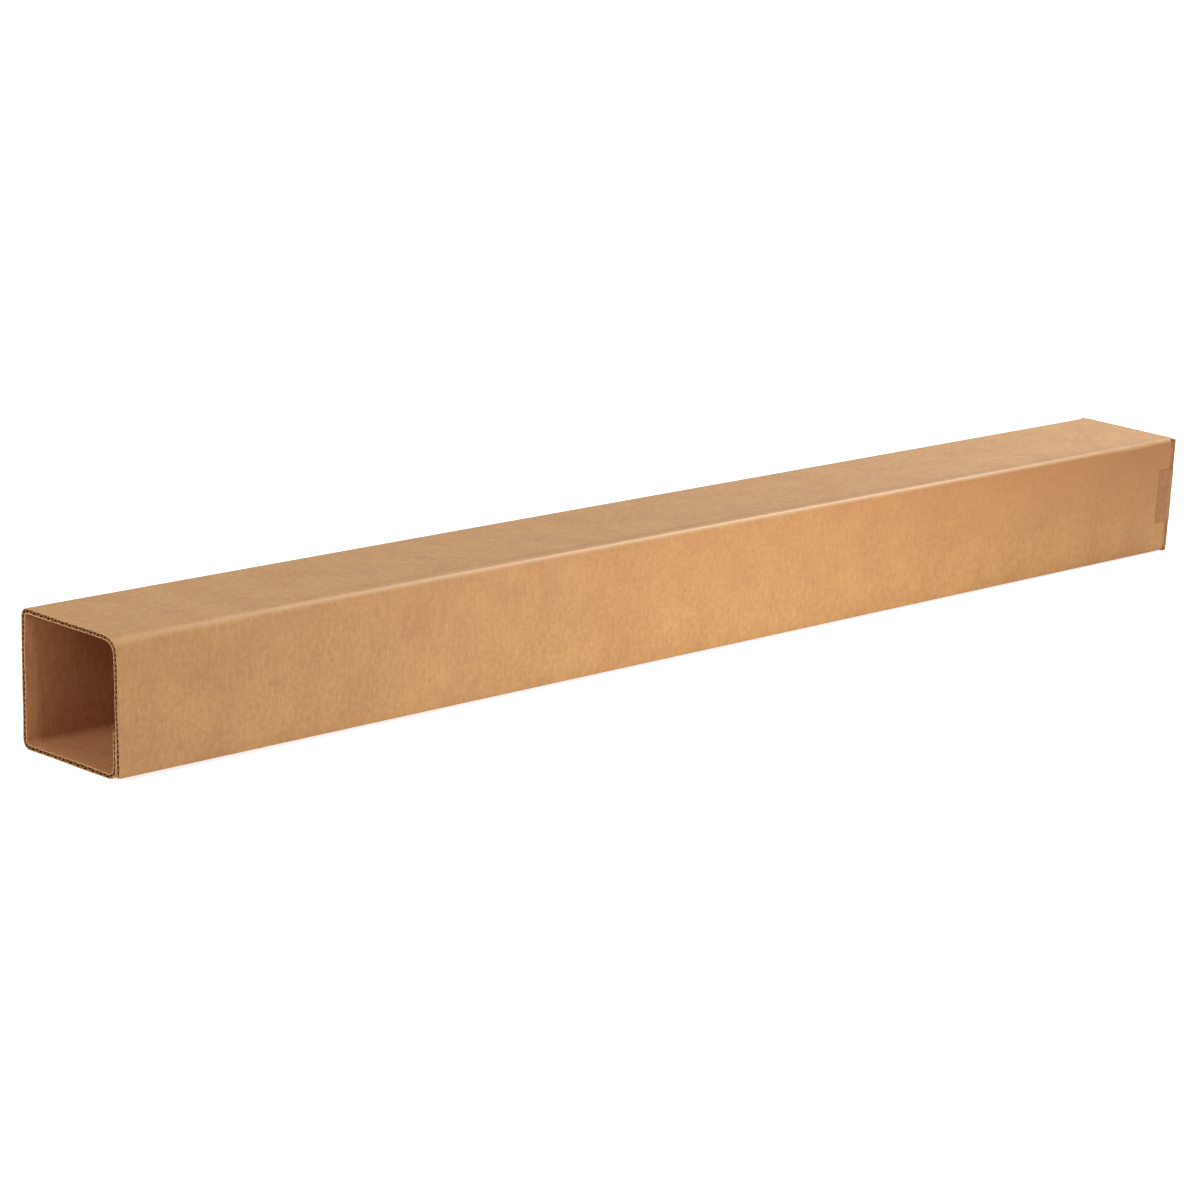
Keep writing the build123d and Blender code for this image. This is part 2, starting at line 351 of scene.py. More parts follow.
def addNode(tree, kind, settings=None, links=None):
    # Settings are properties or input sockets, links are sockets of other nodes
    node = tree.nodes.new(kind)
    for key, value in (settings or {}).items():
        if isinstance(key, str) and hasattr(node, key):
            setattr(node, key, value)
        else:
            node.inputs[key].default_value = value
    for key, socket in (links or {}).items():
        tree.links.new(socket, node.inputs[key])
    return node


def newMaterial(name):
    material = bpy.data.materials.new(name)
    material.use_nodes = True
    material.node_tree.nodes.clear()
    return material, material.node_tree


# Sizes in the paper, in mm
pulp = {
    "fibreWidth": 1.6,          # a softwood fibre is 0.04 mm wide, too fine to show, so these are bundles
    "fibreLength": 11.0,
    "cloud": 4.0,               # thicker and thinner pulp
    "blotch": 35.0,             # slow changes in the weight of the web
    "speckSpacing": 13.0,
    "speckRadius": (0.03, 0.055),   # solid and faded, as shares of the spacing
    "relief": 0.06,
    "tornFibre": 1.2,           # fibre ends at a cut, drawn in bundles too
    "tornRelief": 0.08,
}


def perMetre(size):
    # Texture scale for a size in mm
    return 1 / (size * mm)


def kraftPaper(name, look):
    # Unbleached kraft, pressed on felts: long fibres lie round the box, across the flutes,
    # so the eye sees fine upright streaks over soft clouds of thicker and thinner pulp
    material, tree = newMaterial(name)
    place = addNode(tree, "ShaderNodeTexCoord").outputs["Object"]

    across, length = perMetre(pulp["fibreWidth"]), perMetre(pulp["fibreLength"])
    fibreMap = addNode(tree, "ShaderNodeMapping", {"Scale": (across, length, length)},
                       {"Vector": place})
    fibre = addNode(tree, "ShaderNodeTexNoise", {"Scale": 1.0, "Detail": 3.0, "Roughness": 0.6},
                    {"Vector": fibreMap.outputs[0]})
    cloud = addNode(tree, "ShaderNodeTexNoise",
                    {"Scale": perMetre(pulp["cloud"]), "Detail": 2.5, "Roughness": 0.55},
                    {"Vector": place})
    drift = addNode(tree, "ShaderNodeTexNoise",
                    {"Scale": perMetre(pulp["blotch"]), "Detail": 2.0, "Roughness": 0.5},
                    {"Vector": place})
    fineMix = addNode(tree, "ShaderNodeMix", {"data_type": "FLOAT", "Factor": look["cloudShare"]},
                      {"A": fibre.outputs["Fac"], "B": cloud.outputs["Fac"]})
    mottle = addNode(tree, "ShaderNodeMix", {"data_type": "FLOAT", "Factor": look["driftShare"]},
                     {"A": fineMix.outputs["Result"], "B": drift.outputs["Fac"]})
    tone = addNode(tree, "ShaderNodeValToRGB", None, {"Fac": mottle.outputs["Result"]})
    ramp = tone.color_ramp
    ramp.elements[0].position, ramp.elements[1].position = look["rampEnds"]
    ramp.elements[0].color = hexColour(look["dark"])
    ramp.elements[1].color = hexColour(look["light"])

    # Bark specks under a millimetre, few and far apart
    speck = addNode(tree, "ShaderNodeTexVoronoi",
                    {"Scale": perMetre(pulp["speckSpacing"]), "Randomness": 1.0},
                    {"Vector": place})
    solid, faded = pulp["speckRadius"]
    speckMask = addNode(tree, "ShaderNodeMapRange",
                        {"From Min": solid, "From Max": faded, "To Min": look["specks"],
                         "To Max": 0.0}, {"Value": speck.outputs["Distance"]})
    specked = addNode(tree, "ShaderNodeMix", {"data_type": "RGBA", "B": hexColour(look["bark"])},
                      {"Factor": speckMask.outputs["Result"], "A": tone.outputs["Color"]})

    # Painted shade: the paper is mixed towards a darker, redder colour where the mesh asks for it
    paintedShadeMask = addNode(tree, "ShaderNodeAttribute", {"attribute_name": "paintedShade"})
    paintedShadeTint = addNode(tree, "ShaderNodeMix", {"data_type": "RGBA", "B": hexColour(look["paintedShadeTint"])},
                   {"Factor": paintedShadeMask.outputs["Fac"], "A": specked.outputs["Result"]})

    # A score line is pressed into the sheet, and a darker colour mixed in along it is painted shade for
    # its groove
    score = addNode(tree, "ShaderNodeAttribute", {"attribute_name": "scoreGrooveAndShade"})
    scoreShade = addNode(tree, "ShaderNodeMath", {"operation": "MULTIPLY", 1: look["scorePaintedShade"]},
                    {0: score.outputs["Fac"]})
    scored = addNode(tree, "ShaderNodeMix", {"data_type": "RGBA", "B": hexColour(look["bark"])},
                     {"Factor": scoreShade.outputs[0], "A": paintedShadeTint.outputs["Result"]})

    # The long folds are stretched and rubbed, which leaves them smoother; their paler colour is partly
    # rubbing and partly a painted highlight
    wearAndSheen = addNode(tree, "ShaderNodeAttribute", {"attribute_name": "foldWearAndSheen"})
    wornAndSheen = addNode(tree, "ShaderNodeMath", {"operation": "MULTIPLY", 1: look["foldPaleAndSheen"]},
                   {0: wearAndSheen.outputs["Fac"]})
    colour = addNode(tree, "ShaderNodeMix", {"data_type": "RGBA", "B": hexColour(look["rubbedAndSheen"])},
                     {"Factor": wornAndSheen.outputs[0], "A": scored.outputs["Result"]})
    rough = addNode(tree, "ShaderNodeMapRange",
                    {"To Min": look["roughness"], "To Max": look["foldRoughness"]},
                    {"Value": wearAndSheen.outputs["Fac"]})
    relief = addNode(tree, "ShaderNodeBump",
                     {"Strength": look["bump"], "Distance": pulp["relief"] * mm},
                     {"Height": fineMix.outputs["Result"]})
    shader = addNode(tree, "ShaderNodeBsdfPrincipled", {"IOR": look["ior"]},
                     {"Base Color": colour.outputs["Result"], "Roughness": rough.outputs["Result"],
                      "Normal": relief.outputs["Normal"]})
    addNode(tree, "ShaderNodeOutputMaterial", None, {"Surface": shader.outputs[0]})
    return material


def rawEdge(name, look):
    # Knife-cut paper edge: torn fibre ends, paler than the pressed face and fully matt
    material, tree = newMaterial(name)
    place = addNode(tree, "ShaderNodeTexCoord").outputs["Object"]
    fibre = addNode(tree, "ShaderNodeTexNoise",
                    {"Scale": perMetre(pulp["tornFibre"]), "Detail": 2.0, "Roughness": 0.6},
                    {"Vector": place})
    tone = addNode(tree, "ShaderNodeValToRGB", None, {"Fac": fibre.outputs["Fac"]})
    ramp = tone.color_ramp
    ramp.elements[0].position, ramp.elements[1].position = look["rampEnds"]
    ramp.elements[0].color = hexColour(look["dark"])
    ramp.elements[1].color = hexColour(look["light"])
    relief = addNode(tree, "ShaderNodeBump",
                     {"Strength": look["bump"], "Distance": pulp["tornRelief"] * mm},
                     {"Height": fibre.outputs["Fac"]})
    shader = addNode(tree, "ShaderNodeBsdfPrincipled",
                     {"IOR": look["ior"], "Roughness": look["roughness"]},
                     {"Base Color": tone.outputs["Color"], "Normal": relief.outputs["Normal"]})
    addNode(tree, "ShaderNodeOutputMaterial", None, {"Surface": shader.outputs[0]})
    return material


# Kraft linerboard: wood pulp sheet, pressed and calendered; matt brown with a slight sheen
outerKraft = kraftPaper("kraftLinerOutside", {
    "dark": "#BF8A57", "light": "#D4A264", "rampEnds": (0.385, 0.615),
    "cloudShare": 0.55, "driftShare": 0.28,
    "bark": "#7A5233", "specks": 0.3, "paintedShadeTint": "#B67742", "scorePaintedShade": 0.2,
    "rubbedAndSheen": "#DDAF7F", "foldPaleAndSheen": 0.8, "foldRoughness": 0.36,
    "roughness": 0.62, "bump": 0.35, "ior": 1.5,
})
# The inside liner comes off the same reel but is not rubbed, so it is a little duller
innerKraft = kraftPaper("kraftLinerInside", {
    "dark": "#BB8055", "light": "#D39966", "rampEnds": (0.385, 0.615),
    "cloudShare": 0.4, "driftShare": 0.28,
    "bark": "#6E4A2E", "specks": 0.3, "paintedShadeTint": "#B87C50", "scorePaintedShade": 0.0,
    "rubbedAndSheen": "#D39966", "foldPaleAndSheen": 0.3, "foldRoughness": 0.7,
    "roughness": 0.72, "bump": 0.35, "ior": 1.5,
})
# Fluting medium: semi-chemical straw-brown paper, steamed and pressed into waves, fully matt
flutingPaper = kraftPaper("flutingMedium", {
    "dark": "#94683F", "light": "#B08254", "rampEnds": (0.3, 0.7),
    "cloudShare": 0.5, "driftShare": 0.3,
    "bark": "#5E4028", "specks": 0.2, "paintedShadeTint": "#94683F", "scorePaintedShade": 0.0,
    "rubbedAndSheen": "#B08254", "foldPaleAndSheen": 0.0, "foldRoughness": 0.85,
    "roughness": 0.85, "bump": 0.5, "ior": 1.5,
})
cutLiner = rawEdge("cutLinerEdge", {
    "dark": "#D39C66", "light": "#EDB987", "rampEnds": (0.32, 0.68),
    "roughness": 0.85, "bump": 0.5, "ior": 1.5,
})
# The cut fluting keeps the dark colour of the fluting paper, not a fresh cut's paler one: painted shade,
# so that the flute channels read as large dark dots
cutMedium = rawEdge("cutFlutingEdge", {
    "dark": "#94653E", "light": "#B4825A", "rampEnds": (0.32, 0.68),
    "roughness": 0.85, "bump": 0.5, "ior": 1.5,
})
print("paper materials made")


# Tube

tube = {
    "washboard": 0.06,      # the facings dip between the flute tips, mm
    "bow": 0.5,             # slow hollow of a panel between its folds
    "bowPeriod": 330.0,
    "holdReach": 160.0,     # the flaps hold the closed end flat for this far
    "edgeCrush": 0.5,       # the cut edge is pressed thinner in places
    "crushPatch": 16.0,     # that are about this long
    "crushReach": 9.0,      # and it springs back this far in
    "nick": 0.12,           # small dents in the cut edge, and their spacing
    "nickPitch": 3.1,
    "jag": 0.22,            # knife wander at the mouth, in long waves and short ones
    "jagPitch": (7.0, 1.3),
    "jagReach": 1.2,
    "edgePinch": 0.5,       # pressed shut along the two raw long edges
    "pinchWaves": 1.2,      # for this many half waves
    "burr": 0.75,           # the knife rolls the cut fibres of each paper over, so it looks thicker
    "burrSide": 0.6,        # share of the burr on each side that faces the flutes
    "burrReach": 1.1,
    "burrPitch": 2.3,
    "score": 0.25,          # depth of the score line beside the top right fold
    "scoreAway": 4.5,       # its distance from the fold
    "scoreWidth": 2.2,
    "scoreFrom": 60.0,      # the springy mouth has drawn it flat up to here
    "scoreGrowth": 400.0,   # and it reaches its full depth over this length
    # How much the ridge is rubbed and carries a painted highlight at each x: most in the middle
    "rubAndSheen": {
        0.0: 0.5, 150.0: 0.75, 330.0: 0.85, 520.0: 0.95, 700.0: 1.0,
        900.0: 1.0, 1040.0: 0.75, 1110.0: 0.4, 1160.0: 0.15, 1219.0: 0.1,
    },
    "rubAndSheenNarrow": 5,         # higher keeps the rubbing and painted highlight nearer the middle of a fold
    # Painted shade on the right side, darker and redder: more of it towards the closed end
    "paintedShade": {0.0: 0.28, 300.0: 0.28, 500.0: 0.35, 800.0: 0.42, 1050.0: 0.65, 1219.0: 0.9},
    "paintedShadeDrop": 0.8,       # how much of the painted shade is gone at the foot of the side
}
# Rings of points round the tube: close together at the mouth, at the knock and near the flaps
rings = {
    "mouth": [0.0, 0.5, 1.5, 3.0, 6.0, 10.0, 16.0, 24.0],
    "pastMouth": [34.0, 46.0],
    "body": (60.0, 1120.0),
    "linerStep": 25.0,
    "fluteStep": 50.0,
    "knock": [1125.0, 1140.0, 1150.0, 1158.0, 1166.0, 1175.0],
    "pastKnock": [1184.0],
    "nearFlaps": [1195.0, 1199.0, 1203.0, 1207.0, 1210.0],
}
linerRings = np.concatenate([
    rings["mouth"], rings["pastMouth"], np.arange(*rings["body"], rings["linerStep"]),
    rings["knock"], rings["pastKnock"], [board["squareX"]], rings["nearFlaps"], [board["tubeX"]],
])
fluteRings = np.concatenate([
    rings["mouth"], np.arange(*rings["body"], rings["fluteStep"]),
    rings["knock"], [board["squareX"], board["tubeX"]],
])


def alongTube(xs, table):
    return np.interp(xs, list(table), list(table.values()))[:, None]


def stretchShare():
    # How far each station is along its own stretch, 0 to 1
    share = np.zeros(stationCount)
    for name in halfWaves:
        here = np.where(stretch == name)[0]
        share[here] = np.arange(len(here)) / max(len(here) - 1, 1)
    return share


def nearRawEdge(count, halfWavesIn):
    # 1 at both ends of a row of stations, and 0 from this many half waves in
    fromEdge = np.minimum(np.arange(count), np.arange(count)[::-1])
    return 1.0 - smooth(fromEdge / (halfWavesIn * steps))


def mediumWave(phase):
    # Depths of the outer and inner face of the fluted paper
    swing = (thick - 2 * liner - medium) / 2
    slope = math.pi * swing / board["halfPitch"] * np.sin(phase)
    halfPaper = medium / 2 * np.sqrt(1.0 + slope ** 2)
    middle = thick / 2 + swing * np.cos(phase)
    return middle - halfPaper, middle + halfPaper


along = stretchShare()
stationMm = runAlong(mouthOut)
flat = np.isin(stretch, ["bottom", "left", "top", "right"])
# The tab lies behind the right panel, so it follows that panel's bow
rightTop = mouthOut[np.where(stretch == "right")[0][0]][1]
behindRight = np.clip((rightTop - mouthOut[:, 1]) / (rightTop - board["rawEdges"][0]), 0.0, 1.0)
bowShare = np.where(flat, np.sin(math.pi * along), 0.0)
bowShare = np.where(stretch == "tab", np.sin(math.pi * behindRight), bowShare)
bowSeed = {"bottom": 1, "left": 2, "top": 3, "right": 4, "tab": 4}
onFold = np.isin(stretch, ["foldBL", "foldTL", "foldTR"])
# Rubbing and painted highlight across each long fold, most at its middle
foldWearAndSheen = np.where(onFold, np.sin(math.pi * along) ** tube["rubAndSheenNarrow"], 0.0)
# The painted shade starts softly on the fold and is weaker towards the foot of the right side
paintedShadeShare = np.where(stretch == "foldTR", smooth(along * 2.0 - 1.0),
                      (stretch == "right") * (1.0 - tube["paintedShadeDrop"] * along))
# The scoring wheel leaves a shallow valley on the top, just before its fold to the right side; the same
# line carries a painted shade
foldStart = stationMm[np.where(stretch == "foldTR")[0][0]]
scoreLine = np.exp(-((stationMm - foldStart + tube["scoreAway"]) / tube["scoreWidth"]) ** 2)


def scoreGrooveAndShade(xs):
    growth = smooth((xs - tube["scoreFrom"]) / tube["scoreGrowth"])
    return scoreLine[None] * growth[:, None]


def panelBow(xs):
    bow = np.zeros((len(xs), stationCount))
    hold = smooth((board["tubeX"] - xs) / tube["holdReach"])
    for name, seed in bowSeed.items():
        here = stretch == name
        amount = 0.5 + 0.5 * wander(xs, tube["bowPeriod"], seed)
        bow[:, here] = (amount * hold)[:, None] * bowShare[here][None] * tube["bow"]
    return bow


def layerDepth(xs, depth, washSide):
    # Depth of a layer below the outer face, with bow, washboard, crushed mouth and pinched edges.
    # washSide is -1 for the outer liner, 1 for the inner one and 0 for the medium
    middle = thick / 2
    patches = 0.5 + 0.9 * wander(stationMm, tube["crushPatch"], 11)
    nicks = np.abs(wander(stationMm, tube["nickPitch"], 12))
    crush = smooth(patches) * tube["edgeCrush"] + tube["nick"] * nicks
    nearMouth = np.exp(-xs / tube["crushReach"])[:, None]
    pinch = tube["edgePinch"] * nearRawEdge(stationCount, tube["pinchWaves"])
    scale = 1.0 - nearMouth * crush[None] / middle * 0.5 - pinch[None] * 0.5
    depth = middle + (depth - middle) * scale
    # Each liner dips towards the flutes between their tips
    wash = tube["washboard"] * (1.0 + washSide * np.cos(wavePhase)) / 2
    depth = depth - washSide * wash[None]
    if washSide < 0:
        depth = depth + tube["score"] * scoreGrooveAndShade(xs)
    return depth + panelBow(xs)


def mouthJag(xs, seed):
    # The knife leaves the mouth slightly uneven
    longWave, shortWave = tube["jagPitch"]
    cut = 0.5 + 0.35 * wander(stationMm, longWave, seed)
    cut = cut + 0.15 * wander(stationMm, shortWave, seed + 1)
    return np.exp(-xs / tube["jagReach"])[:, None] * (cut * tube["jag"])[None]


def buildLayer(name, xs, depths, washSide, seed, faces, edges):
    # Burr on the sides of this paper that face the flutes
    rolled = tube["burr"] * np.exp(-xs / tube["burrReach"])[:, None]
    rolled = rolled * (0.75 + 0.25 * wander(stationMm, tube["burrPitch"], seed + 2))[None]
    shallow = depths[0] - rolled * (0.0 if washSide < 0 else tube["burrSide"])
    deep = depths[1] + rolled * (0.0 if washSide > 0 else tube["burrSide"])
    shift = mouthJag(xs, seed)
    front = sheetPoints(xs, layerDepth(xs, shallow, washSide), shift)
    back = sheetPoints(xs, layerDepth(xs, deep, washSide), shift)
    piece, rimStart = paperMesh(name, front, back)
    addAttribute(piece, "foldWearAndSheen", alongTube(xs, tube["rubAndSheen"]) * foldWearAndSheen[None])
    addAttribute(piece, "scoreGrooveAndShade", scoreGrooveAndShade(xs))
    addAttribute(piece, "paintedShade", alongTube(xs, tube["paintedShade"]) * paintedShadeShare[None])
    dress(piece, faces, edges, rimStart, "corrugated_box")


buildLayer("tubeOuterLiner", linerRings, (0.0, liner), -1, 21, outerKraft, cutLiner)
buildLayer("tubeInnerLiner", linerRings, (thick - liner, thick), 1, 31, innerKraft, cutLiner)
buildLayer("tubeFlutes", fluteRings, mediumWave(wavePhase), 0, 41, flutingPaper, cutMedium)
print("tube built")


# Flaps that shut the far end: left and right first, then bottom and top over them

flaps = {
    "flapRight": {"face": 1214.9, "margin": 4.4, "halfWaves": 24},
    "flapLeft": {"face": 1214.9, "margin": 4.4, "halfWaves": 24},
    "flapBottom": {"face": 1219.2, "margin": 0.4, "halfWaves": 26},
    "flapTop": {"face": 1219.2, "margin": 0.4, "halfWaves": 26},
}
flapShape = {
    "foldRadius": 2.0,      # outside of the crease
    "insideRadius": 0.3,    # the crease is nearly sharp inside
    "gap": 1.2,             # between two free edges that meet
    "scoreDip": 0.1,        # crease pressed into the outside of the fold
    "scoreWidth": 1.6,
    "pinch": 0.2,           # pressed thinner along its cut sides
    "pinchWaves": 1.5,      # for this many half waves
    "jag": 0.2,             # knife wander along its free edge
    "jagPitch": 3.0,
    "jagReach": 1.2,
    "rubAndSheen": 0.6,             # its fold is rubbed too, and made paler in the same way as the long folds
    "rubWidth": 3.0,
    "straightRows": (0.0, 0.33, 0.67),
    "foldRows": 9,
    "flatRows": 14,
}


def flapPath(face):
    # Outside and inside points (x, inward) along a flap, from the tube to its free edge
    start = board["tubeX"]
    radius, short = flapShape["foldRadius"], flapShape["insideRadius"]
    turn, insideTurn = face - radius, face - thick - short
    reach = side / 2 - flapShape["gap"] / 2
    outside, inside = [], []
    # The outer flaps run straight on for a little before they fold over the inner ones
    if turn - start > radius / 2:
        for share in flapShape["straightRows"]:
            outside.append((start + (turn - start) * share, 0.0))
            inside.append((start + (insideTurn - start) * share, thick))
    for a in np.linspace(0.0, math.pi / 2, flapShape["foldRows"]):
        outside.append((turn + radius * math.sin(a), radius - radius * math.cos(a)))
        inside.append((insideTurn + short * math.sin(a), thick + short - short * math.cos(a)))
    for share in np.linspace(0.0, 1.0, flapShape["flatRows"] + 1)[1:]:
        outside.append((face, radius + (reach - radius) * share))
        inside.append((face - thick, thick + short + (reach - thick - short) * share))
    return np.array(outside), np.array(inside)


def flapPlace(name, x, inward, across):
    if name == "flapRight":
        spot = (x, inward, side - across)
    elif name == "flapLeft":
        spot = (x, side - inward, across)
    elif name == "flapBottom":
        spot = (x, across, inward)
    else:
        spot = (x, side - across, side - inward)
    return toFrame(knockIn(np.stack(spot, axis=2)))


def buildFlap(name, size, seed):
    outside, inside = flapPath(size["face"])
    columns = size["halfWaves"] * steps + 1
    across = np.linspace(size["margin"], side - size["margin"], columns)
    phase = np.arange(columns) * math.pi / steps
    pinch = flapShape["pinch"] * nearRawEdge(columns, flapShape["pinchWaves"])
    run = runAlong(outside)
    foldEnd = run[-1 - flapShape["flatRows"]]
    fromFold = run - (foldEnd - flapShape["foldRadius"] * math.pi / 4)
    dip = flapShape["scoreDip"] * np.exp(-(fromFold / flapShape["scoreWidth"]) ** 2)
    wearAndSheen = flapShape["rubAndSheen"] * np.exp(-(fromFold / flapShape["rubWidth"]) ** 2)
    freeEdge = np.exp(-(run[-1] - run) / flapShape["jagReach"])
    knife = 0.5 + 0.5 * wander(across, flapShape["jagPitch"], seed)
    jag = freeEdge[:, None] * flapShape["jag"] * knife

    def layer(depth, washSide):
        middle = thick / 2
        wash = tube["washboard"] * (1.0 + washSide * np.cos(phase)) / 2
        depth = middle + (depth - middle) * (1.0 - pinch)
        depth = (depth - washSide * wash)[None] + dip[:, None]
        part = (depth / thick)[:, :, None]
        path = outside[:, None] * (1.0 - part) + inside[:, None] * part
        inward = path[:, :, 1] - jag
        return flapPlace(name, path[:, :, 0], inward, np.broadcast_to(across, depth.shape))

    shallow, deep = mediumWave(phase)
    sheets = [
        ("OuterLiner", layer(0.0, -1), layer(liner, -1), outerKraft, cutLiner),
        ("InnerLiner", layer(thick - liner, 1), layer(thick, 1), innerKraft, cutLiner),
        ("Flutes", layer(shallow, 0), layer(deep, 0), flutingPaper, cutMedium),
    ]
    for part, front, back, faces, edges in sheets:
        piece, rimStart = paperMesh(name + part, front, back)
        addAttribute(piece, "foldWearAndSheen", np.broadcast_to(wearAndSheen[:, None], front.shape[:2]))
        dress(piece, faces, edges, rimStart, "corrugated_box")


for seed, (name, size) in enumerate(flaps.items(), start=50):
    buildFlap(name, size, seed)
print("closing flaps built")


# Closing tape

tape = {
    "width": 48.0,
    "wrap": 22.0,           # reach onto each side of the box
    "thick": 0.06,
    "lift": 0.03,           # adhesive between film and board
    "seamSag": 0.3,         # sinks into the gap between the two outer flaps
    "seamWidth": 1.1,
    "bridge": 0.15,         # small puckers where it turns onto the sides
    "bridgeX": 1214.0,
    "bridgeReach": 4.0,
    "puckerSize": (6.0, 5.0),
    "toothPitch": 2.4,      # saw-toothed cut of the tape gun
    "toothDepth": 0.9,
    "toothReach": 1.5,
    "endBlend": 1.5,        # over which it turns flat onto the closed end
    "sideRows": 24,
    "cornerRows": 12,
    "endRows": 39,
    "columns": 61,
}
film = {
    "light": "#AE6C1C",
    "dark": "#9E5F16",
    "rampEnds": (0.4, 0.6),
    "gluePatch": 5.0,       # mm; where the glue has or has not wetted the paper
    "drawLine": 1.5,        # faint lines from drawing the film, too fine to show at their real width
    "drawLength": 30.0,
    "relief": 0.05,
    "bump": 0.25,
    "roughness": 0.4,
    "ior": 1.49,            # polypropylene
}


def tapePath():
    # (x, y) along the middle of the outer face, from one side round the end to the other
    end, radius = board["length"], flapShape["foldRadius"]
    slot = flaps["flapTop"]["margin"]
    # The film leaves the tube's fold in a straight line to the edge of the outer flap
    runX, runY = end - board["tubeX"], slot - radius
    rise = math.acos(radius / math.hypot(runX, runY)) + math.atan2(-runY, runX)
    lean = math.pi / 2 - rise
    leaveX = board["tubeX"] + radius * math.tan(lean / 2)
    half = [(x, 0.0) for x in np.linspace(end - tape["wrap"], leaveX, tape["sideRows"])]
    for share in np.linspace(0.0, 1.0, tape["cornerRows"] + 1)[1:]:
        half.append((leaveX + (end - leaveX) * share, slot * share))
    half += [(end, y) for y in np.linspace(slot, side / 2, tape["endRows"] + 1)[1:]]
    first = np.array(half)
    second = first[::-1][1:].copy()
    second[:, 1] = side - second[:, 1]
    return np.concatenate([first, second])


def tapeGrid(depth):
    # Points of the film's inner or outer face: depth is the height above the glue, in mm
    path = tapePath()
    way = np.gradient(path, axis=0)
    way /= np.linalg.norm(way, axis=1)[:, None]
    outward = np.stack([way[:, 1], -way[:, 0]], axis=1)
    z = np.linspace(-tape["width"] / 2, tape["width"] / 2, tape["columns"])
    run = runAlong(path)
    x = path[:, :1]
    onEnd = smooth((x - board["length"] + tape["endBlend"]) / tape["endBlend"])
    sag = -tape["seamSag"] * np.exp(-(z / tape["seamWidth"]) ** 2)[None] * onEnd
    turn = np.exp(-((x - tape["bridgeX"]) / tape["bridgeReach"]) ** 2) * (1.0 - onEnd)
    puckers = np.abs(wanderOver(run[:, None], z[None], tape["puckerSize"], 71))
    away = tape["lift"] + depth + sag + tape["bridge"] * turn * puckers
    points = path[:, None] + outward[:, None] * away[:, :, None]
    # Saw-tooth ends: every row near a cut slides back by the tooth's height there
    tooth = np.abs(((z / tape["toothPitch"]) % 1.0) - 0.5) * 2.0 * tape["toothDepth"]
    nearEnd = np.exp(-run / tape["toothReach"]) + np.exp(-(run[-1] - run) / tape["toothReach"])
    alongX = points[:, :, 0] + nearEnd[:, None] * tooth[None]
    height = np.broadcast_to(side / 2 + z, alongX.shape)
    return toFrame(np.stack([alongX, points[:, :, 1], height], axis=2))


def packingTape():
    # Tan polypropylene film with a thin coat of acrylic glue: glossy, and it darkens the
    # kraft that it lies on because the glue wets the fibres
    material, tree = newMaterial("polypropyleneTape")
    place = addNode(tree, "ShaderNodeTexCoord").outputs["Object"]
    wet = addNode(tree, "ShaderNodeTexNoise",
                  {"Scale": perMetre(film["gluePatch"]), "Detail": 3.0}, {"Vector": place})
    tone = addNode(tree, "ShaderNodeValToRGB", None, {"Fac": wet.outputs["Fac"]})
    ramp = tone.color_ramp
    ramp.elements[0].position, ramp.elements[1].position = film["rampEnds"]
    ramp.elements[0].color = hexColour(film["dark"])
    ramp.elements[1].color = hexColour(film["light"])
    length, across = perMetre(film["drawLength"]), perMetre(film["drawLine"])
    drawMap = addNode(tree, "ShaderNodeMapping", {"Scale": (length, length, across)},
                      {"Vector": place})
    drawn = addNode(tree, "ShaderNodeTexNoise", {"Scale": 1.0, "Detail": 2.0},
                    {"Vector": drawMap.outputs[0]})
    relief = addNode(tree, "ShaderNodeBump",
                     {"Strength": film["bump"], "Distance": film["relief"] * mm},
                     {"Height": drawn.outputs["Fac"]})
    shader = addNode(tree, "ShaderNodeBsdfPrincipled",
                     {"IOR": film["ior"], "Roughness": film["roughness"]},
                     {"Base Color": tone.outputs["Color"], "Normal": relief.outputs["Normal"]})
    addNode(tree, "ShaderNodeOutputMaterial", None, {"Surface": shader.outputs[0]})
    return material


tapeFilm = packingTape()
tapePiece, tapeRim = paperMesh("packingTape", tapeGrid(tape["thick"]), tapeGrid(0.0))
dress(tapePiece, tapeFilm, tapeFilm, tapeRim, "closing_tape")
print("closing tape built")


# Studio

studio = {
    "floorHalf": 6.0,       # metres
    "floorColour": "#F2F2F0",
    "floorGlow": 0.75,      # seen by the camera and in reflections only
    "worldFill": 0.37,
    "front": {"location": (0.08, -0.68, 0.11), "target": (0.08, 0.0, 0.05),
              "size": (0.4, 0.2), "power": 2.15},
    "top": {"location": (1.57, 0.2, 1.32), "target": (0.15, 0.0, 0.1),
            "size": (0.4, 0.9), "power": 17.5},
    # Reaches into the open mouth and along its floor
    "left": {"location": (-2.4, 0.1, 1.3), "target": (-0.55, 0.0, 0.03),
             "size": (0.9, 0.9), "power": 19.0},
    # Grazes past the mouth and lights only the rim of its far wall
    "rim": {"location": (-0.72, -1.0, 0.3), "target": (-0.6, 0.0, 0.05),
            "size": (0.06, 0.3), "power": 1.2},
}


def directSight(tree):
    # 1 where a camera, gloss or glass ray sees the surface, 0 where it only lights others
    path = addNode(tree, "ShaderNodeLightPath")
    first = addNode(tree, "ShaderNodeMath", {"operation": "MAXIMUM"},
                    {0: path.outputs["Is Camera Ray"], 1: path.outputs["Is Glossy Ray"]})
    both = addNode(tree, "ShaderNodeMath", {"operation": "MAXIMUM"},
                   {0: first.outputs[0], 1: path.outputs["Is Transmission Ray"]})
    return both.outputs[0]


